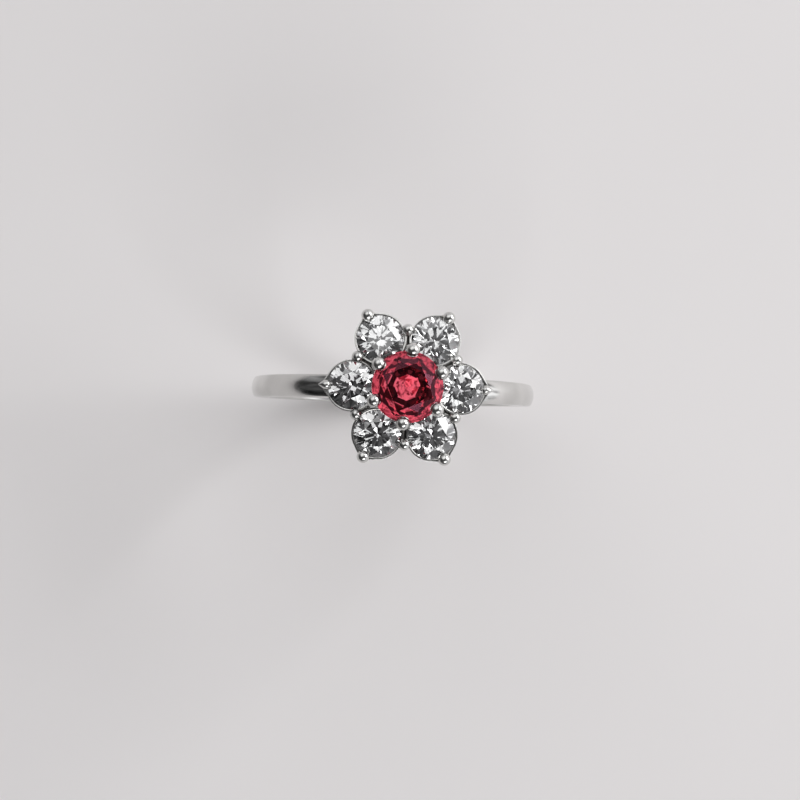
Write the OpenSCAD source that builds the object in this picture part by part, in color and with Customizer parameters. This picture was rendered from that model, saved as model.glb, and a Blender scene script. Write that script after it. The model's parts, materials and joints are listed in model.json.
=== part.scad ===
// Cluster dress ring. A round centre stone stands high in its own claws, and
// a flower of round petal stones in tapered collets surrounds it. The collets
// and claws rise from a base ring, which is soldered to a flat on the shank.
// The finger hole runs along Y about the origin, and the head stands up on +Z.

/* [Shank] */
// Diameter of the finger hole
hole_d = 17.3; // [14:0.1:22]
// Thickness of the shank, from the finger hole to its outer crown
shank_t = 1.45; // [1.1:0.05:2]
// Width of the shank at the back of the finger
shank_back_w = 1.3; // [1:0.1:2.4]
// Width of the shank under the head
shank_front_w = 1.7; // [1.4:0.1:3]
// Radius of the domed outer face, across the width of the shank
shank_dome_r = 1.6; // [1.5:0.1:4]

/* [Stones] */
// Diameter of the centre stone
centre_d = 5; // [4:0.1:6]
// Diameter of each petal stone
petal_d = 3.3; // [2.7:0.1:4]
// Gap between two neighbouring petal stones
petal_gap = 0.5; // [0.45:0.05:0.7]
// Lean of each petal stone away from the centre
petal_tilt = 8; // [0:1:12]
// Table width of a stone, as a share of its diameter
table_share = 0.56; // [0.5:0.01:0.65]
// Slope of the crown's main facets
crown_angle = 34.5; // [30:0.5:38]
// Slope of a petal stone's pavilion
pavilion_angle = 41; // [39:0.5:43]
// Slopes of the three steps in the centre stone's pavilion, from its girdle down
upper_step_angle = 50; // [48:1:52]
middle_step_angle = 40; // [38:1:42]
lower_step_angle = 26; // [22:1:30]
// Radius at which the middle step starts, as a share of the stone's
middle_step_share = 0.62; // [0.58:0.02:0.66]
// Radius at which the lower step starts, as a share of the stone's
lower_step_share = 0.34; // [0.3:0.02:0.42]
// Thickness of the girdle, as a share of the stone's diameter
girdle_share = 0.03; // [0.026:0.002:0.05]

/* [Setting] */
// Mean diameter of the base ring
base_d = 5.6; // [5:0.1:6.4]
// Radial width of the base ring's wire
base_wire_w = 0.8; // [0.6:0.05:1]
// Height of the base ring's wire
base_wire_h = 0.8; // [0.6:0.05:1.2]
// Wall of a petal collet, outside its stone
collet_wall = 0.17; // [0.14:0.01:0.22]
// Reach of a petal collet's point, from the centre of its stone
collet_point = 2.15; // [2:0.05:2.3]
// Outside diameter of a petal collet at its foot
collet_foot_d = 2.1; // [1.8:0.1:2.4]
// Radial width of the rail that the centre stone sits on
rail_w = 0.42; // [0.35:0.01:0.5]
// Height of that rail
rail_h = 0.3; // [0.25:0.05:0.5]

/* [Claws] */
// Diameter of the claws' wire
claw_wire_d = 0.64; // [0.54:0.01:0.76]
// Diameter of the bead on a centre claw
centre_bead_d = 1; // [0.88:0.02:1.2]
// Diameter of the bead on a claw at a petal's tip
tip_bead_d = 0.9; // [0.84:0.02:1.1]
// Diameter of the bead on the two tip claws over the shank, which are pointed
side_bead_d = 0.64; // [0.56:0.02:0.8]
// Diameter of the bead on a claw between two petals
valley_bead_d = 0.84; // [0.76:0.02:1.1]
// Turn of the centre claws' beads about the head's axis
centre_claw_twist = -6; // [-8:1:8]
// Width of the bars between the petals
bar_w = 0.4; // [0.3:0.02:0.5]
// Height of those bars
bar_h = 0.4; // [0.3:0.05:0.6]

/* [Hidden] */
$fn = 64;
petals = 6;
facets = 8;
play = 0.02;            // clearance of a cut seat round its stone
star_share = 0.5;       // length of the star facets between table and girdle
lower_half_share = 0.77; // length of the lower halves between girdle and culet
half_facet = 180 / facets;

// Heights and radii of the shank
hole_r = hole_d / 2;
shank_r = hole_r + shank_t;
base_in = (base_d - base_wire_w) / 2;
base_out = (base_d + base_wire_w) / 2;
seat_margin = 0.05;
seat_z = sqrt(pow(shank_r, 2) - pow(base_out + seat_margin, 2));
base_top = seat_z + base_wire_h;

// Levels of a round stone, above and below the middle of its girdle
function half_girdle(d) = d * girdle_share / 2;
function table_r(d) = d / 2 * table_share;
function table_edge_r(d) = table_r(d) * cos(half_facet);
function star_r(d) = table_edge_r(d) + star_share * (d / 2 - table_edge_r(d));
function lower_r(d) = (1 - lower_half_share) * d / 2;
function crown_z(d, r) = half_girdle(d) + (d / 2 - r) * tan(crown_angle);
function pavilion_z(d, r) = -half_girdle(d) - (d / 2 - r) * tan(pavilion_angle);
function table_z(d) = crown_z(d, table_r(d));
function star_z(d) = crown_z(d, star_r(d) * cos(half_facet));
function lower_z(d) = pavilion_z(d, lower_r(d) * cos(half_facet));
function culet_z(d) = pavilion_z(d, 0);
function middle_step_z(d) =
    -half_girdle(d) - (1 - middle_step_share) * d / 2 * tan(upper_step_angle);
function lower_step_z(d) =
    middle_step_z(d) - (middle_step_share - lower_step_share) * d / 2 * tan(middle_step_angle);
function step_culet_z(d) =
    lower_step_z(d) - lower_step_share * d / 2 * tan(lower_step_angle);
function upper_slope(d) = (star_z(d) - half_girdle(d)) / (d / 2 - star_r(d));
function lower_slope(d) = (-lower_z(d) - half_girdle(d)) / (d / 2 - lower_r(d));

// Where the petals stand
petal_r = petal_d / 2;
petal_ring_r = (petal_d + petal_gap) / (2 * sin(180 / petals));
collet_depth = -culet_z(petal_d) + 0.15;
collet_clearance = 0.12;
petal_z = base_top + collet_clearance + collet_depth;
collet_rim_z = half_girdle(petal_d) * 0.4;

// The rail clears the petal stones' crowns, and the centre stone rests on it
centre_r = centre_d / 2;
rail_out = centre_r - 0.08;
rail_in = rail_out - rail_w;
petal_inner_r = petal_ring_r - petal_r * cos(petal_tilt);
petal_inner_z = petal_z + petal_r * sin(petal_tilt) + half_girdle(petal_d);
crown_rise = max(0, rail_out - petal_inner_r) * tan(atan(upper_slope(petal_d)) - petal_tilt);
rail_clearance = 0.08;
rail_z = petal_inner_z + crown_rise + rail_clearance;
bearing_r = rail_in + rail_w / 2;
bearing_drop = half_girdle(centre_d) + (centre_r - bearing_r) * tan(upper_step_angle);
centre_z = rail_z + rail_h + bearing_drop;

// Claw beads, as [distance from the head's axis, height]
claw_r = claw_wire_d / 2;
grip = 0.22;            // how far a bead reaches over a petal's tip
side_grip = 0.05;       // how far a bead reaches over each petal beside it
bead_lift = 0.12;
wire_offset = 0.08;     // how far a wire stands outside its bead
valley_reach = petal_r + valley_bead_d / 2 - side_grip;
half_sector = 180 / petals;
valley_bead = [
    petal_ring_r * cos(half_sector)
        + sqrt(pow(valley_reach, 2) - pow(petal_ring_r * sin(half_sector), 2)),
    petal_z + bead_lift
];
function tip_bead(d) = [
    petal_ring_r + (petal_r + d / 2 - grip) * cos(petal_tilt),
    petal_z - petal_r * sin(petal_tilt) + bead_lift
];
tip_wire = [tip_bead(tip_bead_d)[0] + wire_offset, tip_bead(tip_bead_d)[1] - 0.1];
side_tips = [1, 1 + petals / 2];
side_point_r = 0.12;    // rounding of a pointed claw's end
side_point = [tip_bead(tip_bead_d)[0] + tip_bead_d / 2 - side_point_r, tip_wire[1] + 0.05];
centre_bead = [centre_r + 0.04, centre_z + bead_lift];
arc_start = [base_out - 0.12, seat_z + base_wire_h / 2];

// Bars, in the gaps between the petals
bar_top = petal_z - 0.25;

// Places its children at petal k: upright on Z here, leaning outwards there
module at_petal(k) {
    rotate([0, 0, (k - 1) * 360 / petals])
        translate([petal_ring_r, 0, petal_z])
            rotate([0, petal_tilt, 0])
                children();
}

// Turns its children to the valley between petals k and k + 1
module at_valley(k) {
    rotate([0, 0, (k - 0.5) * 360 / petals])
        children();
}

// A ring of n points of radius r at height z, the first turned by phase
function ring(n, r, z, phase = 0) =
    [for (i = [0:n - 1]) [r * cos(phase + i * 360 / n), r * sin(phase + i * 360 / n), z]];

// Upper part of a round stone, down to the widened foot of its girdle
function crown_points(d, skirt) = concat(
    ring(facets, table_r(d), table_z(d)),
    ring(facets, star_r(d), star_z(d), half_facet),
    ring(2 * facets, skirt, half_girdle(d) - (skirt - d / 2) * upper_slope(d))
);

// Pavilion of a brilliant, with a culet
function brilliant_points(d, skirt) = concat(
    ring(2 * facets, skirt, (skirt - d / 2) * lower_slope(d) - half_girdle(d)),
    ring(facets, lower_r(d), lower_z(d), half_facet),
    [[0, 0, culet_z(d)]]
);

// Pavilion cut in three steps
function step_points(d, skirt) = concat(
    ring(2 * facets, skirt, (skirt - d / 2) * tan(upper_step_angle) - half_girdle(d)),
    ring(2 * facets, middle_step_share * d / 2, middle_step_z(d)),
    ring(facets, lower_step_share * d / 2, lower_step_z(d), half_facet),
    [[0, 0, step_culet_z(d)]]
);

// Round stone of diameter d, its girdle centred on the origin
module round_stone(d, stepped) {
    skirt = 1.02 * d / 2;
    points = concat(
        crown_points(d, skirt),
        stepped ? step_points(d, skirt) : brilliant_points(d, skirt)
    );
    intersection() {
        hull()
            polyhedron(points, [for (i = [0:len(points) - 3]) [i, i + 1, i + 2]]);
        cylinder(r = d / 2, h = 4 * half_girdle(d) + 4 * d, center = true);
    }
}

// The shape that a setting bur cuts for a stone of diameter d, above its pavilion
function bur_crown(d) = [
    [d / 2 + play, -half_girdle(d) - play],
    [d / 2 + play, half_girdle(d) + play],
    [star_r(d) + play, star_z(d) + play],
    [table_r(d) + play, table_z(d) + play],
    [0, table_z(d) + play]
];

module petal_bur() {
    rotate_extrude()
        polygon(concat(
            [
                [0, culet_z(petal_d) - play],
                [lower_r(petal_d) + play, lower_z(petal_d) - play]
            ],
            bur_crown(petal_d)
        ));
}

module centre_bur() {
    translate([0, 0, centre_z])
        rotate_extrude()
            polygon(concat(
                [
                    [0, step_culet_z(centre_d) - play],
                    [lower_step_share * centre_r + play, lower_step_z(centre_d) - play],
                    [middle_step_share * centre_r + play, middle_step_z(centre_d) - play]
                ],
                bur_crown(centre_d)
            ));
}

// Outer cone of a petal collet, without its point
module collet_cone() {
    translate([0, 0, -collet_depth])
        cylinder(
            h = collet_depth + collet_rim_z,
            r1 = collet_foot_d / 2,
            r2 = petal_r + collet_wall
        );
}

// Petal collet before it is bored: a round foot and a pear-shaped rim
module collet_blank() {
    rim_t = 0.02;
    point_r = 0.1;
    hull() {
        translate([0, 0, -collet_depth])
            cylinder(h = rim_t, r = collet_foot_d / 2, $fn = 48);
        translate([0, 0, collet_rim_z - rim_t]) {
            cylinder(h = rim_t, r = petal_r + collet_wall, $fn = 48);
            translate([collet_point - point_r, 0, 0])
                cylinder(h = rim_t, r = point_r, $fn = 16);
        }
    }
}

module collet_bore() {
    bearing = 0.12;
    foot_wall = 0.3;
    translate([0, 0, -collet_depth])
        cylinder(
            h = collet_depth + collet_rim_z,
            r1 = collet_foot_d / 2 - foot_wall,
            r2 = petal_r - bearing
        );
}

// A claw's wire in the XZ plane: an arc from start that ends upright at end
module arc_wire(start, end, r) {
    run = end[0] - start[0];
    rise = end[1] - start[1];
    bend_r = (pow(run, 2) + pow(rise, 2)) / (2 * run);
    sweep = acos((bend_r - run) / bend_r);
    translate([end[0] - bend_r, 0, end[1]])
        rotate([90, 0, 0])
            rotate([0, 0, -sweep])
                rotate_extrude(angle = sweep)
                    translate([bend_r, 0])
                        circle(r = r);
}

// A straight wire from point a to point b
module straight_wire(a, b, r) {
    v = b - a;
    translate(a)
        rotate([0, acos(v[2] / norm(v)), atan2(v[1], v[0])])
            cylinder(r = r, h = norm(v));
}

module bead(place, d) {
    translate([place[0], 0, place[1]])
        sphere(d = d);
}

module centre_claw_blank() {
    foot_r = centre_bead[0] + wire_offset;
    top = [
        foot_r * cos(centre_claw_twist),
        foot_r * sin(centre_claw_twist),
        centre_z + 0.05
    ];
    straight_wire([foot_r, 0, base_top - 0.1], top, claw_r);
    rotate([0, 0, centre_claw_twist])
        bead(centre_bead, centre_bead_d);
}

// Bead drawn out to a point over the point of the collet
module pointed_bead() {
    hull($fn = 32) {
        bead(tip_bead(side_bead_d), side_bead_d);
        bead(side_point, 2 * side_point_r);
        translate([tip_wire[0], 0, tip_wire[1] - claw_r])
            cylinder(r = claw_r - 0.02, h = 0.1);
    }
}

module tip_claw_blank(k) {
    rotate([0, 0, (k - 1) * 360 / petals]) {
        arc_wire(arc_start, tip_wire, claw_r);
        if (len(search(k, side_tips)) > 0)
            pointed_bead();
        else
            bead(tip_bead(tip_bead_d), tip_bead_d);
    }
}

module valley_claw_blank() {
    arc_wire(arc_start, [valley_bead[0] + wire_offset / 2, valley_bead[1] - 0.1], claw_r);
    bead(valley_bead, valley_bead_d);
}

module base_ring() {
    bevel = 0.15;
    color("gainsboro")
        rotate_extrude()
            polygon([
                [base_in, seat_z],
                [base_out, seat_z],
                [base_out, base_top - bevel],
                [base_out - bevel, base_top],
                [base_in + bevel, base_top],
                [base_in, base_top - bevel]
            ]);
}

module seat_rail() {
    color("gainsboro")
        difference() {
            translate([0, 0, rail_z])
                rotate_extrude()
                    translate([rail_in, 0])
                        square([rail_w, rail_h]);
            centre_bur();
        }
}

// Outline of the shank across its width, with a domed outer face
module shank_section() {
    intersection() {
        translate([hole_r, -shank_front_w / 2])
            square([shank_t, shank_front_w]);
        translate([shank_r - shank_dome_r, 0])
            circle(r = shank_dome_r);
    }
}

module shank() {
    color("gainsboro")
        difference() {
            intersection() {
                rotate([90, 0, 0])
                    rotate_extrude()
                        shank_section();
                rotate([90, 0, 90])
                    linear_extrude(height = 2 * shank_r + 2, center = true)
                        polygon([
                            [-shank_back_w / 2, -shank_r],
                            [shank_back_w / 2, -shank_r],
                            [shank_front_w / 2, seat_z],
                            [shank_front_w / 2, shank_r],
                            [-shank_front_w / 2, shank_r],
                            [-shank_front_w / 2, seat_z]
                        ]);
            }
            translate([-base_out - seat_margin, -shank_front_w, seat_z])
                cube([2 * (base_out + seat_margin), 2 * shank_front_w, shank_t]);
        }
}

module centre_stone() {
    color("crimson")
        translate([0, 0, centre_z])
            round_stone(centre_d, stepped = true);
}

module petal_stone(k) {
    color("azure")
        at_petal(k)
            round_stone(petal_d, stepped = false);
}

// The tip claw is let into the point of its collet
module petal_collet(k) {
    color("gainsboro")
        difference() {
            at_petal(k)
                collet_blank();
            at_petal(k) {
                collet_bore();
                petal_bur();
            }
            tip_claw_blank(k);
        }
}

module centre_claw(k) {
    color("gainsboro")
        difference() {
            at_valley(k)
                centre_claw_blank();
            for (side = [k, k + 1])
                at_petal(side) {
                    collet_cone();
                    petal_bur();
                }
            centre_bur();
            seat_rail();
            base_ring();
            at_valley(k)
                valley_claw_blank();
        }
}

module tip_claw(k) {
    color("gainsboro")
        difference() {
            tip_claw_blank(k);
            at_petal(k) {
                collet_bore();
                petal_bur();
            }
            base_ring();
        }
}

module valley_claw(k) {
    color("gainsboro")
        difference() {
            at_valley(k)
                valley_claw_blank();
            for (side = [k, k + 1])
                at_petal(side) {
                    collet_cone();
                    petal_bur();
                }
            base_ring();
        }
}

module bridge_bar(k) {
    color("gainsboro")
        difference() {
            at_valley(k)
                translate([centre_bead[0], -bar_w / 2, bar_top - bar_h])
                    cube([valley_bead[0] - centre_bead[0], bar_w, bar_h]);
            for (side = [k, k + 1])
                at_petal(side)
                    collet_cone();
            at_valley(k) {
                centre_claw_blank();
                valley_claw_blank();
            }
        }
}

shank();
base_ring();
seat_rail();
centre_stone();
for (k = [1:petals]) {
    petal_stone(k);
    petal_collet(k);
    centre_claw(k);
    tip_claw(k);
    valley_claw(k);
    bridge_bar(k);
}
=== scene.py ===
import json
import math

import bmesh
import bpy
from mathutils import Matrix, Vector
from mathutils.geometry import interpolate_bezier


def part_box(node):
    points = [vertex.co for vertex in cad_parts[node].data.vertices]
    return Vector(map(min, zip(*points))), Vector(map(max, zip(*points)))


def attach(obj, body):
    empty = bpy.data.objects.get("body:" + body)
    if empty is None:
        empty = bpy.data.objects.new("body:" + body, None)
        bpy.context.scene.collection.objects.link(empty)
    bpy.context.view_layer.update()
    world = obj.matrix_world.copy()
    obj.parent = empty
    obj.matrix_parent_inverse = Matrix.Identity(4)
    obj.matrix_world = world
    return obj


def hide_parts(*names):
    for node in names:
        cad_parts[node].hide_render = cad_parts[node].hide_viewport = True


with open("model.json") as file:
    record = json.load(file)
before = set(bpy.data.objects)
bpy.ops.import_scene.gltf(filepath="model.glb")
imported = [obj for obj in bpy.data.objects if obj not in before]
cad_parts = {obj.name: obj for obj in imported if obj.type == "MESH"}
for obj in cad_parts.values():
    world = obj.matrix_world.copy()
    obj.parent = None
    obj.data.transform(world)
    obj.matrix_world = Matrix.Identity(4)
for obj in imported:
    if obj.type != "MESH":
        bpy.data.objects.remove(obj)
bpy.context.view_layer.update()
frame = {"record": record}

# --------------------------------------------------------------------- shank
# A single length of D-section 18 carat white-gold wire, bent round a mandrel,
# filed narrower towards the back of the finger and plated with rhodium. A flat
# is filed across its top to take the head.

MM = 0.001                      # pieces are shaped in millimetres
shank_low, shank_high = (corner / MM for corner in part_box("shank"))
hole_r = frame["record"]["mounts"][0]["dims"]["r_mm"]
shank_r = shank_high.x
seat_z = shank_high.z
front_half_w = shank_high.y
back_half_w = 0.65
dome_r = 1.6
shank_edge_r = 0.14


def start_finish(name):
    """A blank finish: its material, nodes, linking call, shader and the piece's own coordinates."""
    finish = bpy.data.materials.new(name)
    finish.use_nodes = True
    nodes = finish.node_tree.nodes
    place = nodes.new("ShaderNodeTexCoord").outputs["Object"]
    return finish, nodes, finish.node_tree.links.new, nodes["Principled BSDF"], place


def grain(nodes, link, place, scale, detail=2.0, roughness=0.5, distortion=0.0):
    """An uneven value that changes over a piece, with its scale in features per metre."""
    noise = nodes.new("ShaderNodeTexNoise")
    noise.inputs["Scale"].default_value = scale
    noise.inputs["Detail"].default_value = detail
    noise.inputs["Roughness"].default_value = roughness
    noise.inputs["Distortion"].default_value = distortion
    link(place, noise.inputs["Vector"])
    return noise.outputs["Fac"]


def tint(nodes, link, value, *stops):
    """Turns a value into colours, from stops of a position and a colour."""
    ramp = nodes.new("ShaderNodeValToRGB")
    for position, _ in stops[1:-1]:
        ramp.color_ramp.elements.new(position)
    for element, (position, colour) in zip(ramp.color_ramp.elements, stops):
        element.position = position
        element.color = (*colour, 1)
    link(value, ramp.inputs["Fac"])
    return ramp.outputs["Color"]


def spread(nodes, link, value, given, wanted):
    """Moves a value from the given range to the wanted one, and holds it there."""
    span = nodes.new("ShaderNodeMapRange")
    span.inputs["From Min"].default_value, span.inputs["From Max"].default_value = given
    span.inputs["To Min"].default_value, span.inputs["To Max"].default_value = wanted
    link(value, span.inputs["Value"])
    return span.outputs["Result"]


def white_gold(name, haze, hollow_shade):
    """Worn white gold under rhodium; haze dulls the polish, and the other strength darkens the
    colour in hollows as painted shade.
    """
    metal, nodes, link, shader, place = start_finish(name)
    shader.inputs["Metallic"].default_value = 1.0

    # Rhodium is brighter where it is whole and greyer where it has thinned
    patches = grain(nodes, link, place, 380, detail=5)
    plating = tint(nodes, link, patches, (0.35, (0.60, 0.595, 0.58)), (0.7, (0.74, 0.735, 0.72)))

    # Painted shade: the colour darkens where ambient occlusion finds surfaces close together
    hollows = nodes.new("ShaderNodeAmbientOcclusion")
    hollows.inputs["Distance"].default_value = 0.0007
    hollows.samples = 6
    shade_amount = spread(nodes, link, hollows.outputs["AO"], (0.25, 0.85), (hollow_shade, 0.0))
    shaded_plating = nodes.new("ShaderNodeMix")
    shaded_plating.data_type = "RGBA"
    shaded_plating.inputs["B"].default_value = (0.13, 0.12, 0.11, 1)
    link(shade_amount, shaded_plating.inputs["Factor"])
    link(plating, shaded_plating.inputs["A"])
    link(shaded_plating.outputs["Result"], shader.inputs["Base Color"])

    # Polish: bright, with cloudy wear
    wear = grain(nodes, link, place, 1500, detail=8, roughness=0.65)
    polish = spread(nodes, link, wear, (0.3, 0.75), (0.04 + 0.08 * haze, 0.10 + 0.25 * haze))
    link(polish, shader.inputs["Roughness"])

    # Hairline scratches, drawn out along one direction and broken up
    stretch = nodes.new("ShaderNodeMapping")
    stretch.inputs["Scale"].default_value = (1.0, 0.08, 1.0)
    stretch.inputs["Rotation"].default_value = (0.3, 0.2, 0.5)
    link(place, stretch.inputs["Vector"])
    hairlines = grain(nodes, link, stretch.outputs["Vector"], 26000, detail=3)
    cut = nodes.new("ShaderNodeBump")
    cut.inputs["Strength"].default_value = 0.10
    cut.inputs["Distance"].default_value = 0.00002
    link(hairlines, cut.inputs["Height"])
    link(cut.outputs["Normal"], shader.inputs["Normal"])
    return metal


MERGE = 1e-4                    # points nearer than this many millimetres are one


def finish_piece(name, bm, finish, smooth=True):
    """Brings a shape modelled in millimetres into the frame as one piece on the root."""
    bmesh.ops.remove_doubles(bm, verts=bm.verts, dist=MERGE)
    bmesh.ops.recalc_face_normals(bm, faces=bm.faces)
    bmesh.ops.scale(bm, vec=(MM, MM, MM), verts=bm.verts)
    mesh = bpy.data.meshes.new(name)
    bm.to_mesh(mesh)
    bm.free()
    mesh.materials.append(finish)
    mesh.polygons.foreach_set("use_smooth", [smooth] * len(mesh.polygons))
    piece = bpy.data.objects.new(name, mesh)
    bpy.context.collection.objects.link(piece)
    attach(piece, "root")
    return piece


def spin_section(bm, corners, axis, steps, rounding=0.0, rounded=None, closed=True):
    """Turns a section about an axis through the origin, after rounding its corners."""
    points = [bm.verts.new(corner) for corner in corners]
    if closed:
        bm.faces.new(points)
        if rounded:
            points = [points[i] for i in rounded]
        bmesh.ops.bevel(bm, geom=points, affect="VERTICES", offset=rounding,
                        segments=5, profile=0.5, material=-1)
        flat = bm.faces[:]
    else:
        for a, b in zip(points, points[1:]):
            bm.edges.new((a, b))
        flat = []
    bmesh.ops.spin(bm, geom=bm.verts[:] + bm.edges[:], cent=(0, 0, 0), axis=axis,
                   angle=math.tau, steps=steps, use_merge=True, use_duplicate=False)
    if flat:
        bmesh.ops.delete(bm, geom=flat, context="FACES_ONLY")
    bmesh.ops.remove_doubles(bm, verts=bm.verts, dist=MERGE)


dome_steps = 10
dome_reach = math.asin(front_half_w / dome_r)
dome = [dome_reach * (2 * i / dome_steps - 1) for i in range(dome_steps + 1)]
shank_section = [(hole_r, front_half_w, 0), (hole_r, -front_half_w, 0)] + [
    (shank_r - dome_r + dome_r * math.cos(a), dome_r * math.sin(a), 0) for a in dome
]
shank_metal = white_gold("white_gold_shank", haze=0.35, hollow_shade=0.1)
bm = bmesh.new()
spin_section(bm, shank_section, axis=(0, 1, 0), steps=240, rounding=shank_edge_r,
             rounded=(0, 1, 2, -1))
for v in bm.verts:
    up = (v.co.z + shank_r) / (seat_z + shank_r)
    half_w = back_half_w + (front_half_w - back_half_w) * min(up, 1)
    v.co.y *= half_w / front_half_w
    v.co.z = min(v.co.z, seat_z)
shank = finish_piece("shank_band", bm, shank_metal)
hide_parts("shank")

# ----------------------------------------------------------------- base ring
# A stout gallery ring, turned from square wire and soldered to the flat of
# the shank. All the claws of the head rise from it.

head_metal = white_gold("white_gold_head", haze=0.9, hollow_shade=0.75)
base_low, base_high = (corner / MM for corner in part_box("base_ring"))
base_wall = 0.8
base_edge_r = 0.16
base_out = base_high.x
base_in = base_out - base_wall
base_bottom, base_top = base_low.z, base_high.z
bm = bmesh.new()
spin_section(bm, [(base_in, 0, base_bottom), (base_out, 0, base_bottom),
                  (base_out, 0, base_top), (base_in, 0, base_top)],
             axis=(0, 0, 1), steps=128, rounding=base_edge_r)
base_ring = finish_piece("gallery_ring", bm, head_metal)
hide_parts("base_ring")

# -------------------------------------------------------------- petal stones
# Six colourless round brilliants. Each is ground facet by facet from a round
# blank: 33 facets above the girdle and 24 below, and no two are set turned
# quite alike. The girdle keeps a fine ground finish.

PETALS = 6
FACETS = 8                      # main facets round a stone
crown_angle = math.radians(34.5)
pavilion_angle = math.radians(41)
girdle_share = 0.03
lower_half_share = 0.77         # how far the lower halves run from girdle to culet
petal_table_share = 0.56
first_turn, turn_between = 5, 13
petal_tilt = math.radians(8)
stone_low, stone_high = (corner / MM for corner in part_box("petal_stone_1"))
petal_r = stone_high.y
petal_ring_r = (stone_low.x + stone_high.x) / 2
petal_half_girdle = petal_r * girdle_share
upright = 0.05                  # a face whose normal leans less than this stands upright
petal_depth = petal_half_girdle + petal_r * math.tan(pavilion_angle)
petal_z = stone_low.z + petal_depth * math.cos(petal_tilt)


def colourless_gem():
    """Clear, highly refractive stone with the faintest clouding."""
    gem, nodes, link, shader, place = start_finish("colourless_brilliant")
    shader.inputs["Transmission Weight"].default_value = 1.0
    shader.inputs["IOR"].default_value = 2.417
    shader.inputs["Roughness"].default_value = 0.0
    cloud = grain(nodes, link, place, 900, detail=4)
    clarity = tint(nodes, link, cloud, (0, (0.965, 0.968, 0.97)), (1, (1, 1, 1)))
    link(clarity, shader.inputs["Base Color"])
    return gem


def ground_girdle():
    """The girdle's fine matt grinding marks."""
    rim, nodes, link, shader, place = start_finish("ground_girdle")
    shader.inputs["Base Color"].default_value = (0.86, 0.87, 0.88, 1)
    shader.inputs["Transmission Weight"].default_value = 0.9
    shader.inputs["IOR"].default_value = 2.417
    marks = grain(nodes, link, place, 30000)
    link(spread(nodes, link, marks, (0, 1), (0.25, 0.5)), shader.inputs["Roughness"])
    return rim


def ring_point(reach, turn, height):
    """A point at a radius, an angle in degrees and a height."""
    a = math.radians(turn)
    return Vector((reach * math.cos(a), reach * math.sin(a), height))


def grind(bm, a, b, c):
    """Grinds away all of the stone that lies beyond the plane through a, b and c."""
    face_normal = (b - a).cross(c - a).normalized()
    if face_normal.dot(a) < 0:
        face_normal.negate()
    everything = bm.verts[:] + bm.edges[:] + bm.faces[:]
    cut = bmesh.ops.bisect_plane(bm, geom=everything, dist=1e-5, plane_co=a,
                                 plane_no=face_normal, clear_outer=True)
    rim = [g for g in cut["geom_cut"] if isinstance(g, bmesh.types.BMEdge)]
    if rim:
        bmesh.ops.edgeloop_fill(bm, edges=rim)


def stone_blank(girdle_r, depth):
    """A round blank, bruted to the girdle's diameter and taller than any stone cut from it."""
    bm = bmesh.new()
    bmesh.ops.create_cone(bm, cap_ends=True, segments=96, radius1=girdle_r,
                          radius2=girdle_r, depth=depth)
    return bm


def grind_crown(bm, girdle_r, half_girdle, table_share):
    """Table, eight star facets, eight mains and sixteen upper halves."""
    step = 360 / FACETS
    half = step / 2
    inset = math.cos(math.radians(half))
    table_reach = girdle_r * table_share
    star_reach = (table_reach * inset + girdle_r) / 2

    def crown_height(reach):
        return half_girdle + (girdle_r - reach) * math.tan(crown_angle)

    table_height = crown_height(table_reach)
    star_height = crown_height(star_reach * inset)
    grind(bm, *(ring_point(table_reach, turn, table_height) for turn in (0, 120, 240)))
    for k in range(FACETS):
        main_turn = k * step
        left = ring_point(star_reach, main_turn - half, star_height)
        right = ring_point(star_reach, main_turn + half, star_height)
        girdle_main = ring_point(girdle_r, main_turn, half_girdle)
        grind(bm, left, girdle_main, ring_point(girdle_r, main_turn - half, half_girdle))
        grind(bm, right, girdle_main, ring_point(girdle_r, main_turn + half, half_girdle))
        grind(bm, left, right, girdle_main)
        grind(bm, right, ring_point(table_reach, main_turn, table_height),
              ring_point(table_reach, main_turn + step, table_height))


def grind_pavilion(bm, girdle_r, half_girdle):
    """Eight mains that meet at the culet, and sixteen lower halves."""
    step = 360 / FACETS
    half = step / 2
    inset = math.cos(math.radians(half))
    lower_reach = (1 - lower_half_share) * girdle_r

    def pavilion_height(reach):
        return -half_girdle - (girdle_r - reach) * math.tan(pavilion_angle)

    culet = Vector((0, 0, pavilion_height(0)))
    lower_height = pavilion_height(lower_reach * inset)
    for k in range(FACETS):
        main_turn = k * step
        girdle_main = ring_point(girdle_r, main_turn, -half_girdle)
        for side in (-half, half):
            grind(bm, ring_point(lower_reach, main_turn + side, lower_height), girdle_main,
                  ring_point(girdle_r, main_turn + side, -half_girdle))
        grind(bm, culet, girdle_main, ring_point(lower_reach, main_turn + half, lower_height))


def at_petal(k):
    """Where petal k stands: out along its arm and leaning away from the centre."""
    return (Matrix.Rotation(math.tau * k / PETALS, 4, "Z")
            @ Matrix.Translation((petal_ring_r, 0, petal_z))
            @ Matrix.Rotation(petal_tilt, 4, "Y"))


def girdle_to_second_slot(stone):
    """Gives the upright faces round a stone's girdle their ground finish."""
    for face in stone.faces:
        if abs(face.normal.z) < upright:
            face.material_index = 1


clear_stone = colourless_gem()
girdle_finish = ground_girdle()
for k in range(PETALS):
    bm = stone_blank(petal_r, 3 * petal_r)
    grind_crown(bm, petal_r, petal_half_girdle, petal_table_share)
    grind_pavilion(bm, petal_r, petal_half_girdle)
    bm.normal_update()
    girdle_to_second_slot(bm)
    own_turn = Matrix.Rotation(math.radians(first_turn + turn_between * k), 4, "Z")
    bmesh.ops.transform(bm, matrix=at_petal(k) @ own_turn, verts=bm.verts)
    stone = finish_piece(f"petal_brilliant_{k + 1}", bm, clear_stone, smooth=False)
    stone.data.materials.append(girdle_finish)
    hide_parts(f"petal_stone_{k + 1}")

# -------------------------------------------------------------- centre stone
# A round pinkish-red stone, ruby by its colour, cut with a broad table. It
# stands well above the petals, and carries a few wisps of silk inside.

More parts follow.
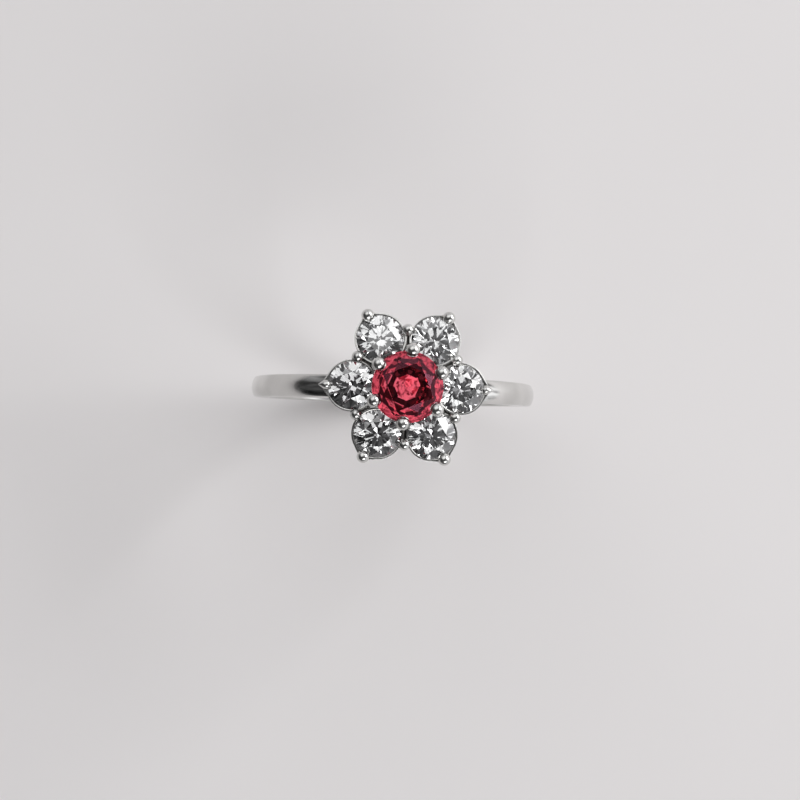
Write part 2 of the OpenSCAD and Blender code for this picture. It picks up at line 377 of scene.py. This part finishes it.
centre_low, centre_high = (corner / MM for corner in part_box("centre_stone"))
centre_r = centre_high.x
centre_table_share = 0.58
centre_half_girdle = centre_r * girdle_share
step_shares = (1.0, 0.62, 0.34, 0.0)
step_slopes = [math.radians(slope) for slope in (50, 40, 26)]
step_sides = (16, 8, 8)
by_eye = math.radians(1.3)      # how far a facet may lean from its true slope
centre_depth = centre_r * sum((share - inner) * math.tan(slope) for share, inner, slope
                              in zip(step_shares, step_shares[1:], step_slopes))
centre_z = centre_low.z + centre_half_girdle + centre_depth


def red_gem(name, glow, shade=1.0):
    """Deep pinkish red that darkens with the light's path; glow is painted light from the stone
    itself, and shade below one paints shade into its colour.
    """
    gem, nodes, link, shader, place = start_finish(name)
    shader.inputs["Transmission Weight"].default_value = 1.0
    shader.inputs["IOR"].default_value = 1.765
    shader.inputs["Roughness"].default_value = 0.0
    shader.inputs["Specular Tint"].default_value = (0.56, 0.18, 0.28, 1)
    shader.inputs["Emission Strength"].default_value = glow
    silk = grain(nodes, link, place, 1400, detail=6, distortion=1.5)
    body = tint(nodes, link, silk, (0.35, (0.93 * shade, 0.55 * shade, 0.62 * shade)),
                (0.7, (shade, 0.72 * shade, 0.78 * shade)))
    link(body, shader.inputs["Base Color"])

    # Painted glow, made uneven by a noise mottle
    glow_mottle = grain(nodes, link, place, 2400, detail=4, distortion=1.2)
    ember = tint(nodes, link, glow_mottle, (0.40, (0.16, 0.02, 0.035)), (0.54, (1.0, 0.38, 0.46)))
    link(ember, shader.inputs["Emission Color"])

    depth = nodes.new("ShaderNodeVolumeAbsorption")
    depth.inputs["Color"].default_value = (0.80, 0.10, 0.22, 1)
    depth.inputs["Density"].default_value = 390
    link(depth.outputs["Volume"], nodes["Material Output"].inputs["Volume"])
    return gem


def grind_steps(bm, girdle_r, half_girdle):
    """A pavilion in three steps, each flatter than the last; the lower two are a little uneven."""
    height = -half_girdle
    for tier, (slope, sides) in enumerate(zip(step_slopes, step_sides)):
        reach = girdle_r * step_shares[tier]
        for k in range(sides):
            turn = 360 * (k + 0.5) / sides
            lean = slope + by_eye * tier * math.sin(2.4 * k + tier)
            turn += math.degrees(2 * by_eye) * tier * math.cos(1.7 * k)
            out = ring_point(math.sin(lean), turn, -math.cos(lean))
            edge = ring_point(reach, turn, height)
            along = ring_point(1, turn + 90, 0)
            grind(bm, edge, edge + along, edge + out.cross(along))
        height -= (reach - girdle_r * step_shares[tier + 1]) * math.tan(slope)


# Painted light: the whole stone gets a faint painted glow standing in for its red fluorescence, and
# the lower step a strong painted glow that lights the centre from within
faint_glow = 0.002
lower_step_painted_glow = 1.0
# The crown facets get a darker copy of the colour: painted shade
crown_painted_shade = 0.54
lower_step_slope = math.radians(33)
level = 0.99                    # a face whose normal rises more than this is the table
bm = stone_blank(centre_r, 3 * centre_r)
grind_crown(bm, centre_r, centre_half_girdle, centre_table_share)
grind_steps(bm, centre_r, centre_half_girdle)
bm.normal_update()
girdle_to_second_slot(bm)
# Lower-step facets take the painted-glow copy of the colour, crown facets the painted-shade copy
for face in bm.faces:
    if face.normal.z < -math.cos(lower_step_slope):
        face.material_index = 2
    elif upright < face.normal.z < level:
        face.material_index = 3
bmesh.ops.translate(bm, vec=(0, 0, centre_z), verts=bm.verts)
ruby = finish_piece("centre_ruby", bm, red_gem("red_stone", faint_glow), smooth=False)
ruby.data.materials.append(girdle_finish)
ruby.data.materials.append(red_gem("red_stone_painted_glow", lower_step_painted_glow))
ruby.data.materials.append(red_gem("red_stone_shaded_crown", faint_glow, crown_painted_shade))
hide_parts("centre_stone")

# ----------------------------------------------------------------- seat rail
# A thin ring of square wire, soldered inside the centre claws. Its upper inner
# edge is cut to the slope of the stone's first step, and the stone sits on it.

rail_low, rail_high = (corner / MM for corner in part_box("seat_rail"))
rail_out = rail_high.x
rail_wall = 0.42
rail_edge_r = 0.03
rail_in = rail_out - rail_wall
seat_play = 0.02
seat_edge_z = centre_z - centre_half_girdle - seat_play
bearing_slope = math.tan(step_slopes[0])
bearing_out = centre_r - (seat_edge_z - rail_high.z) / bearing_slope
bearing_foot_z = seat_edge_z - (centre_r - rail_in) * bearing_slope
bm = bmesh.new()
spin_section(bm, [(rail_in, 0, rail_low.z), (rail_out, 0, rail_low.z),
                  (rail_out, 0, rail_high.z), (bearing_out, 0, rail_high.z),
                  (rail_in, 0, bearing_foot_z)],
             axis=(0, 0, 1), steps=96, rounding=rail_edge_r)
rail = finish_piece("centre_bearing", bm, head_metal)
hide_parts("seat_rail")

# ------------------------------------------------------------- petal collets
# Each petal stone sits in its own collet: a cone of thin sheet, round at the
# foot and drawn out to a point at the rim, bored and cut with a bearing for
# the girdle. The bright edge of its rim shows all round the stone.

collet_wall = 0.17
collet_point = 2.15
point_r = 0.1
collet_foot_r = 1.05
collet_foot_wall = 0.3
collet_bearing_w = 0.12
collet_depth = petal_depth + 0.15
rim_z = petal_half_girdle * 0.4  # just under the girdle's upper edge
COLLET_SIDES = 96


def pear_reach(turn, round_r):
    """Radius of a pear outline at an angle from its point: a circle and two tangents."""
    span = collet_point - point_r
    touch = math.acos((round_r - point_r) / span)
    a = abs(turn)
    cap = math.atan2(point_r * math.sin(touch), span + point_r * math.cos(touch))
    if a <= cap:
        return span * math.cos(a) + math.sqrt(point_r ** 2 - (span * math.sin(a)) ** 2)
    if a <= touch:
        return round_r / math.cos(touch - a)
    return round_r


def climb(bm, ring, rule):
    """Draws a ring of edges on to a new ring, whose radius and height come from rule(turn)."""
    grown = bmesh.ops.extrude_edge_only(bm, edges=ring)["geom"]
    fresh = {g for g in grown if isinstance(g, bmesh.types.BMVert)}
    for v in fresh:
        turn = math.atan2(v.co.y, v.co.x)
        reach, height = rule(turn)
        v.co = (reach * math.cos(turn), reach * math.sin(turn), height)
    return list({e for v in fresh for e in v.link_edges if e.other_vert(v) in fresh})


def collet_wall_rule(share):
    """Outside of the collet, from its round foot at 0 to its pear-shaped rim at 1."""
    def rule(turn):
        foot, rim = collet_foot_r, pear_reach(turn, petal_r + collet_wall)
        return foot + (rim - foot) * share, -collet_depth + (collet_depth + rim_z) * share
    return rule


def rim_rule(inset, drop):
    """A line round the rim, set in from its outer edge and lowered a little."""
    def rule(turn):
        return pear_reach(turn, petal_r + collet_wall) - inset, rim_z - drop
    return rule


def round_rule(reach, height):
    """A plain circle."""
    return lambda turn: (reach, height)


def collet():
    """One collet about its own upright axis, its point on +X."""
    bm = bmesh.new()
    bmesh.ops.create_circle(bm, segments=COLLET_SIDES, radius=collet_foot_r)
    bmesh.ops.translate(bm, vec=(0, 0, -collet_depth), verts=bm.verts)
    first = bm.edges[:]
    ring = first
    for share in (0.04, 0.25, 0.5, 0.75, 0.93, 0.975):
        ring = climb(bm, ring, collet_wall_rule(share))
    for inset, drop in ((0.004, 0.012), (0.015, 0.003), (0.03, 0.0), (0.075, 0.0)):
        ring = climb(bm, ring, rim_rule(inset, drop))
    seat_r = petal_r + seat_play
    bearing_r = petal_r - collet_bearing_w
    bearing_z = -petal_half_girdle - collet_bearing_w * math.tan(pavilion_angle)
    foot_bore_r = collet_foot_r - collet_foot_wall
    for reach, height in ((seat_r + 0.012, rim_z), (seat_r, rim_z - 0.015),
                          (seat_r, -petal_half_girdle - seat_play),
                          (bearing_r, bearing_z - seat_play),
                          (bearing_r - 0.015, bearing_z - 0.06),
                          (foot_bore_r + 0.02, -collet_depth + 0.05),
                          (foot_bore_r, -collet_depth)):
        ring = climb(bm, ring, round_rule(reach, height))
    bmesh.ops.bridge_loops(bm, edges=first + ring)
    return bm


for k in range(PETALS):
    bm = collet()
    bmesh.ops.transform(bm, matrix=at_petal(k), verts=bm.verts)
    piece = finish_piece(f"pear_collet_{k + 1}", bm, head_metal)
    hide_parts(f"petal_collet_{k + 1}")

# --------------------------------------------------------------------- claws
# Eighteen claws of drawn wire: one at the tip of each petal, one in each
# valley between two petals, and six that carry the centre stone. Each is
# notched for the girdle, bent over the stone and rounded to a bead.

wire_r = 0.32
neck_r = 0.27
neck_drop = 0.55                # the wire turns upright this far below its bead
neck_lean = 0.07
SIDE_TIPS = (0, PETALS // 2)    # the two tips over the shank have pointed claws
point_width = 0.25              # of the bead's own width, at a filed point
point_fade_low, point_fade_high = -0.5, -0.1
point_flattening = 0.6
notch_depth = 0.6               # the notch is filed no further than this from the girdle
CLAW_SIDES = 36
CLAW_STATIONS = 56
CURVE_STEPS = 80


def claw_shape(length, bead_r):
    """A straight claw along +Z: tapering wire that swells into a bead at its end."""
    bead_at = length - bead_r
    blend = 0.06
    crowding = 1.6              # draws the stations together towards the bead
    outline = []
    for i in range(CLAW_STATIONS + 1):
        share = i / CLAW_STATIONS
        along = length * (1 - (1 - share) ** crowding)
        taper = wire_r + (neck_r - wire_r) * along / length
        ball = math.sqrt(max(bead_r ** 2 - (along - bead_at) ** 2, 0))
        body = taper if along < bead_at else 0
        mix = max(blend - abs(body - ball), 0) / blend
        reach = max(body, ball) + mix ** 2 * blend / 4
        if along >= bead_at:
            reach = ball
        outline.append((max(reach, 1e-5), 0, along))
    outline[-1] = (0, 0, length)
    bm = bmesh.new()
    spin_section(bm, outline, axis=(0, 0, 1), steps=CLAW_SIDES, closed=False)
    foot = [e for e in bm.edges if e.is_boundary]
    bmesh.ops.edgeloop_fill(bm, edges=foot)
    return bm


def bend_along(bm, start, start_pull, end_pull, end, length):
    """Bends a straight claw on to a curve in the XZ plane, keeping lengths along it."""
    curve = interpolate_bezier(start, start_pull, end_pull, end, CURVE_STEPS)
    marks = [0.0]
    for a, b in zip(curve, curve[1:]):
        marks.append(marks[-1] + (b - a).length)
    stretch = marks[-1] / length
    for v in bm.verts:
        along = min(v.co.z, length) * stretch
        i = max(j for j in range(len(curve) - 1) if marks[j] <= along + 1e-9)
        gap = marks[i + 1] - marks[i]
        share = (along - marks[i]) / gap
        here = curve[i].lerp(curve[i + 1], share)
        before = (curve[i] - curve[i - 1]) if i else (curve[1] - curve[0])
        after = curve[i + 1] - curve[i]
        ahead = before.normalized().lerp(after.normalized(), 0.5 + share / 2).normalized()
        side = Vector((0, 1, 0))
        out = side.cross(ahead)
        v.co = here + out * v.co.x + side * v.co.y


def curve_length(*handles):
    """Length of the curve that bend_along would follow."""
    curve = interpolate_bezier(*handles, CURVE_STEPS)
    return sum((b - a).length for a, b in zip(curve, curve[1:]))


def press_on(bm, stone_place, girdle_r, under_slope):
    """Cuts the notch: metal inside the stone's space is moved out to its surface."""
    into = stone_place.inverted()
    half_girdle = girdle_r * girdle_share
    for v in bm.verts:
        p = into @ v.co
        reach = math.hypot(p.x, p.y)
        if reach >= girdle_r + seat_play or abs(p.z) > notch_depth:
            continue
        if p.z >= 0:
            top = half_girdle + (girdle_r - reach) * math.tan(crown_angle) + seat_play
            if p.z < top:
                p.z = top
        else:
            wall = girdle_r - max(-p.z - half_girdle, 0) / math.tan(under_slope) + seat_play
            if reach < wall:
                p.x *= wall / reach
                p.y *= wall / reach
        v.co = stone_place @ p


def radial(reach, height):
    """A point in the plane that a claw is bent in."""
    return Vector((reach, 0, height))


def file_to_point(bm, bead, bead_r, point):
    """Draws the outer half of a bead out to a point that lies over its collet's point."""
    for v in bm.verts:
        above = v.co.z - bead.z
        share = (v.co.x - bead.x) / bead_r
        rise = (above - point_fade_low) / (point_fade_high - point_fade_low)
        pull = min(max(share, 0), 1) * min(max(rise, 0), 1)
        v.co.x += pull * (point - bead.x - bead_r)
        v.co.y *= 1 - (1 - point_width) * pull ** 2
        if above > 0:
            v.co.z -= above * point_flattening * pull ** 2


def make_claw(name, bead, bead_r, foot, foot_pull, turn, twist, stones, point=None):
    """One claw: from foot to bead in the plane at an angle, notched for its stones."""
    below = radial(bead.x + neck_lean, bead.z - neck_drop)
    handles = (foot, foot_pull, below, bead + Vector((0, 0, bead_r)))
    length = curve_length(*handles)
    bm = claw_shape(length, bead_r)
    bend_along(bm, *handles, length)
    if point:
        file_to_point(bm, bead, bead_r, point)
    bmesh.ops.transform(bm, matrix=Matrix.Rotation(turn, 4, "Z"), verts=bm.verts)
    if twist:
        for v in bm.verts:
            rise = (v.co.z - foot.z) / (bead.z - foot.z)
            v.co.rotate(Matrix.Rotation(twist * min(max(rise, 0), 1), 3, "Z"))
    for stone in stones:
        press_on(bm, *stone)
    return finish_piece(name, bm, head_metal)


side_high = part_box("tip_claw_1")[1] / MM
tip_reach = side_high.x
tip_bead_r = 0.45
tip_bead = radial(tip_reach - tip_bead_r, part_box("tip_claw_2")[1].z / MM - tip_bead_r)
side_bead_r = 0.32
side_bead = radial(tip_reach - 2 * tip_bead_r + side_bead_r, side_high.z - side_bead_r)
valley_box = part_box("valley_claw_2")[1] / MM
valley_bead_r = 0.42
valley_bead = radial(valley_box.y - valley_bead_r, valley_box.z - valley_bead_r)
centre_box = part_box("centre_claw_2")[1] / MM
centre_bead_r = 0.5
centre_bead = radial(centre_r + 0.04, centre_box.z - centre_bead_r)
claw_foot = radial(base_out - 0.12, base_bottom + 0.4)  # sunk in the gallery ring
tip_pull = radial(tip_bead.x - 0.2, claw_foot.z - 0.05)
valley_pull = radial(valley_bead.x - 0.1, claw_foot.z + 0.1)
centre_foot = radial(centre_bead.x + 0.08, base_top - 0.1)
centre_pull = radial(centre_foot.x, base_top + 0.6)
centre_twist = math.radians(-6)
centre_place = Matrix.Translation((0, 0, centre_z))
half_turn = math.pi / PETALS

for k in range(PETALS):
    arm = math.tau * k / PETALS
    bead, bead_r, point = tip_bead, tip_bead_r, None
    if k in SIDE_TIPS:
        bead, bead_r, point = side_bead, side_bead_r, tip_reach
    petal = (at_petal(k), petal_r, pavilion_angle)
    next_petal = (at_petal(k + 1), petal_r, pavilion_angle)
    tip = make_claw(f"tip_prong_{k + 1}", bead, bead_r, claw_foot, tip_pull, arm, 0,
                    [petal], point)
    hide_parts(f"tip_claw_{k + 1}")
    valley = make_claw(f"valley_prong_{k + 1}", valley_bead, valley_bead_r, claw_foot,
                       valley_pull, arm + half_turn, 0, [petal, next_petal])
    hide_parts(f"valley_claw_{k + 1}")
    centre = make_claw(f"centre_prong_{k + 1}", centre_bead, centre_bead_r, centre_foot,
                       centre_pull, arm + half_turn, centre_twist,
                       [(centre_place, centre_r, step_slopes[0])])
    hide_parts(f"centre_claw_{k + 1}")

# -------------------------------------------------------------- bridge bars
# Short bars of round-edged wire, soldered across each gap between a centre
# claw and its valley claw to stiffen the flower.

bar_w = 0.3
bar_edge_r = 0.1
bar_in_claws = 0.2              # length sunk in the claws at its two ends
bar_low, bar_high = (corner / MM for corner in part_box("bridge_bar_2"))
bar_length = bar_high.y - bar_low.y + bar_in_claws
for k in range(PETALS):
    bm = bmesh.new()
    bmesh.ops.create_cube(bm, size=1)
    bmesh.ops.scale(bm, vec=(bar_length, bar_w, bar_high.z - bar_low.z), verts=bm.verts)
    bmesh.ops.bevel(bm, geom=bm.edges[:], affect="EDGES", offset=bar_edge_r, segments=4,
                    profile=0.5, material=-1)
    bmesh.ops.translate(bm, vec=((bar_high.y + bar_low.y) / 2, 0, (bar_high.z + bar_low.z) / 2),
                        verts=bm.verts)
    turn = Matrix.Rotation(math.tau * k / PETALS + half_turn, 4, "Z")
    bmesh.ops.transform(bm, matrix=turn, verts=bm.verts)
    bar = finish_piece(f"bridge_{k + 1}", bm, head_metal)
    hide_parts(f"bridge_bar_{k + 1}")

# --------------------------------------------------------------------- floor
# A wide, pale, matt table top, level with the back of the shank.


def pale_card():
    """Off-white card with a barely seen mottle."""
    card, nodes, link, shader, place = start_finish("pale_card")
    shader.inputs["Roughness"].default_value = 0.6
    mottle = grain(nodes, link, place, 40)
    tone = tint(nodes, link, mottle, (0, (0.78, 0.755, 0.755)), (1, (0.81, 0.785, 0.785)))
    link(tone, shader.inputs["Base Color"])
    return card


floor_reach = 0.6
bm = bmesh.new()
bmesh.ops.create_grid(bm, x_segments=1, y_segments=1, size=floor_reach)
bmesh.ops.translate(bm, vec=(0, 0, shank_low.z * MM), verts=bm.verts)
floor_mesh = bpy.data.meshes.new("floor")
bm.to_mesh(floor_mesh)
bm.free()
floor_mesh.materials.append(pale_card())
floor = bpy.data.objects.new("floor", floor_mesh)
bpy.context.collection.objects.link(floor)

# --------------------------------------------------------------------- light
# Soft boxes round a still life of this size, with dark gaps between them so
# that the facets have something to show.


lamp_distance = 0.5
lamp_target = Vector((0, 0, 0.01))


def soft_box(name, azimuth, elevation, size, power):
    """A rectangular soft box that faces the ring from a compass angle and a height."""
    lamp = bpy.data.lights.new(name, "AREA")
    lamp.shape = "RECTANGLE"
    lamp.size, lamp.size_y = size
    lamp.energy = power
    box = bpy.data.objects.new(name, lamp)
    a, e = math.radians(azimuth), math.radians(elevation)
    away = Vector((math.cos(e) * math.cos(a), math.cos(e) * math.sin(a), math.sin(e)))
    box.location = lamp_target + away * lamp_distance
    box.rotation_euler = (-away).to_track_quat("-Z", "Y").to_euler()
    bpy.context.collection.objects.link(box)


soft_box("window", 28, 32, (0.42, 0.26), 1.65)
soft_box("skylight", 118, 58, (0.5, 0.4), 0.6)
soft_box("front_wall", 288, 40, (0.34, 0.22), 0.75)


def studio_room():
    """A room that the metal and stones reflect: dim overhead, pale low down and by the window."""
    world = bpy.data.worlds.new("studio")
    world.use_nodes = True
    nodes = world.node_tree.nodes
    link = world.node_tree.links.new
    view = nodes.new("ShaderNodeTexCoord").outputs["Generated"]

    # From the horizon to the ceiling
    apart = nodes.new("ShaderNodeSeparateXYZ")
    link(view, apart.inputs["Vector"])
    tones = ((0.0, 0.55), (0.35, 0.75), (0.62, 0.48), (0.84, 0.24), (1.0, 0.09))
    ceiling = tint(nodes, link, apart.outputs["Z"],
                   *((height, (tone, tone, tone * 1.02)) for height, tone in tones))

    # Brighter on the window's side of the room
    facing = nodes.new("ShaderNodeVectorMath")
    facing.operation = "DOT_PRODUCT"
    facing.inputs[1].default_value = (0.8, 0.6, 0)
    link(view, facing.inputs[0])
    windowed = spread(nodes, link, facing.outputs["Value"], (-0.6, 1.0), (0.12, 1.6))

    # Furniture and shadows, as soft blotches
    clutter = grain(nodes, link, view, 3.2)
    blotches = spread(nodes, link, clutter, (0.38, 0.62), (0.15, 1.6))
    strength = nodes.new("ShaderNodeMath")
    strength.operation = "MULTIPLY"
    link(windowed, strength.inputs[0])
    link(blotches, strength.inputs[1])
    room = nodes["Background"]
    link(ceiling, room.inputs["Color"])
    link(strength.outputs["Value"], room.inputs["Strength"])

    # Straight behind the ring there is only plain pale paper
    paper = nodes.new("ShaderNodeBackground")
    paper.inputs["Color"].default_value = (0.76, 0.735, 0.735, 1)
    seen = nodes.new("ShaderNodeLightPath")
    either = nodes.new("ShaderNodeMixShader")
    link(seen.outputs["Is Camera Ray"], either.inputs["Fac"])
    link(room.outputs["Background"], either.inputs[1])
    link(paper.outputs["Background"], either.inputs[2])
    link(either.outputs["Shader"], nodes["World Output"].inputs["Surface"])
    return world


bpy.context.scene.world = studio_room()

# -------------------------------------------------------------------- camera
# Looks down on the face of the head from a long way off, a few degrees to one
# side, as one looks at a ring held up to the light.

camera_data = bpy.data.cameras.new("camera")
camera_data.lens = 250
camera_data.sensor_width = 36
camera_data.clip_start = 0.01
camera = bpy.data.objects.new("camera", camera_data)
bpy.context.collection.objects.link(camera)
head_height = petal_z * MM
camera_distance = 0.386
side_angle = math.radians(-4.5)
lift_angle = math.radians(-1.4)
roll = math.radians(1.95)
toward = Vector((math.sin(side_angle), math.sin(lift_angle), 1)).normalized()
look_at = Vector((-0.0004, -0.0009, head_height))
across = Vector((-math.sin(roll), math.cos(roll), 0)).cross(toward).normalized()
upward = toward.cross(across)
camera.matrix_world = (Matrix.Translation(look_at + toward * camera_distance)
                       @ Matrix((across, upward, toward)).transposed().to_4x4())
bpy.context.scene.camera = camera
bpy.context.scene.view_settings.view_transform = "Standard"
bpy.context.scene.cycles.max_bounces = 24
bpy.context.scene.cycles.transmission_bounces = 24
